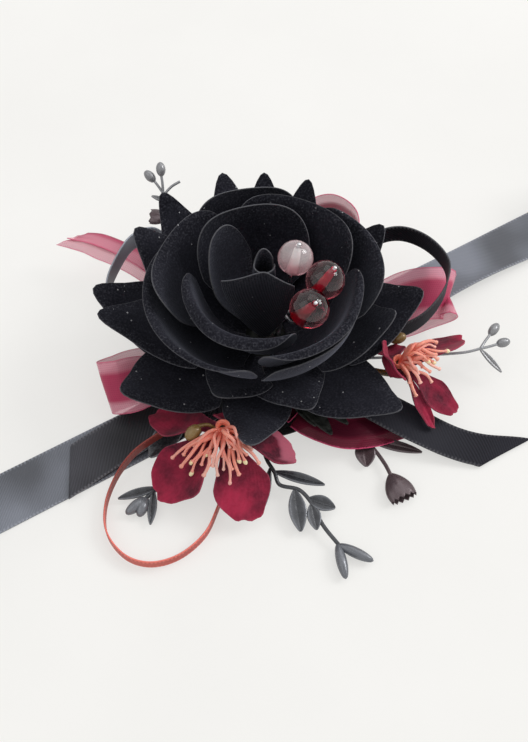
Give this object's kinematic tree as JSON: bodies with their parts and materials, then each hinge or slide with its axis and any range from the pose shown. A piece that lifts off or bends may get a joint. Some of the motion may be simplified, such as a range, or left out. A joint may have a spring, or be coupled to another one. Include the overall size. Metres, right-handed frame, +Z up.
{
  "type": "wrist corsage",
  "caption": "Tie-on wrist corsage: a black fabric rose with glass beads, burgundy blossoms, sheer and satin ribbon loops and dark sprigs on a felt-backed wrist ribbon.",
  "frame": {"origin": "centre of the felt backing's flat underside, which lies on the wrist or table", "axes": "+Z up through the rose; the wrist ribbon runs 31 degrees from +X towards +Y; -Y is the side with the front blossom"},
  "size_m": [0.2172, 0.1392, 0.0517],
  "materials": {
    "velvet_black": "flocked velvet, light cut edges",
    "satin_black": "satin weave, grey-blue sheen",
    "satin_coral": "narrow satin, coral",
    "organza_burgundy": "sheer organza with woven edge",
    "blossom_cloth": "printed burgundy cloth",
    "stamen_coral": "waxed thread and plastic, coral",
    "sprig_plastic": "dark grey, silvery bloom",
    "bud_gold": "olive gold",
    "glass_clear": "clear pressed glass",
    "glass_red": "clear glass with a red core",
    "silver_wire": "thin craft wire",
    "felt_black": "craft felt",
    "floral_tape": "waxed floral tape, dark green"
  },
  "bodies": {
    "corsage": {"felt_backing": "felt_black", "wrist_ribbon_centre": "satin_black", "ribbon_tail_left": "satin_black", "ribbon_tail_right": "satin_black", "satin_loop_left": "satin_black", "satin_loop_right": "satin_black", "coral_loop": "satin_coral", "organza_loop_left": "organza_burgundy", "organza_loop_top": "organza_burgundy", "organza_loop_right": "organza_burgundy", "organza_tail_upper_left": "organza_burgundy", "organza_tail_front": "organza_burgundy", "stem_bundle": "floral_tape", "rose_receptacle": "floral_tape", "petal_centre_roll": "velvet_black", "petal_front_bud": "velvet_black", "petal_inner_left": "velvet_black", "petal_cup_back": "velvet_black", "petal_cup_front": "velvet_black", "petal_cup_right_back": "velvet_black", "petal_cup_right_front": "velvet_black", "petal_cup_left": "velvet_black", "petal_mid_right": "velvet_black", "petal_mid_back": "velvet_black", "petal_mid_left": "velvet_black", "petal_mid_front": "velvet_black", "petal_upper_1": "velvet_black", "petal_upper_2": "velvet_black", "petal_upper_3": "velvet_black", "petal_upper_4": "velvet_black", "petal_upper_5": "velvet_black", "petal_upper_6": "velvet_black", "petal_upper_back": "velvet_black", "petal_lower_1": "velvet_black", "petal_lower_2": "velvet_black", "petal_lower_3": "velvet_black", "petal_lower_4": "velvet_black", "petal_lower_5": "velvet_black", "petal_lower_6": "velvet_black", "petal_lower_front": "velvet_black", "petal_lower_back": "velvet_black", "bead_pick": "silver_wire", "blossom_front_petals": "blossom_cloth", "blossom_right_petals": "blossom_cloth", "blossom_front_stamens": "stamen_coral", "blossom_right_stamens": "stamen_coral", "gold_bud_front": "bud_gold", "gold_bud_right": "bud_gold", "sprig_front": "sprig_plastic", "sprig_left": "sprig_plastic", "sprig_top": "sprig_plastic", "sprig_right": "sprig_plastic", "seed_head": "sprig_plastic", "dark_leaf": "sprig_plastic"},
    "left_tail": {"wrist_ribbon_left": "satin_black"},
    "right_tail": {"wrist_ribbon_right": "satin_black"},
    "first_bead": {"bead_1": "glass_clear"},
    "second_bead": {"bead_2": "glass_red"},
    "third_bead": {"bead_3": "glass_red"}
  },
  "joints": [
    {"name": "left_tail_fold", "type": "hinge", "parent": "corsage", "child": "left_tail", "pos_m": [-0.01912, -0.01149, 0.0018], "axis": [0.515, -0.8572, 0], "range_deg": [0, 90]},
    {"name": "right_tail_fold", "type": "hinge", "parent": "corsage", "child": "right_tail", "pos_m": [0.01912, 0.01149, 0.0018], "axis": [-0.515, 0.8572, 0], "range_deg": [0, 90]},
    {"name": "first_bead_spin", "type": "hinge", "parent": "corsage", "child": "first_bead", "pos_m": [0.0079, 0.004, 0.046], "axis": [0.1579, 0.0395, 0.9867], "continuous": true},
    {"name": "second_bead_spin", "type": "hinge", "parent": "corsage", "child": "second_bead", "pos_m": [0.0154, -0.0006, 0.043], "axis": [0.3868, -0.0461, 0.921], "continuous": true},
    {"name": "third_bead_spin", "type": "hinge", "parent": "corsage", "child": "third_bead", "pos_m": [0.0112, -0.0096, 0.043], "axis": [0.2347, -0.361, 0.9026], "continuous": true}
  ]
}
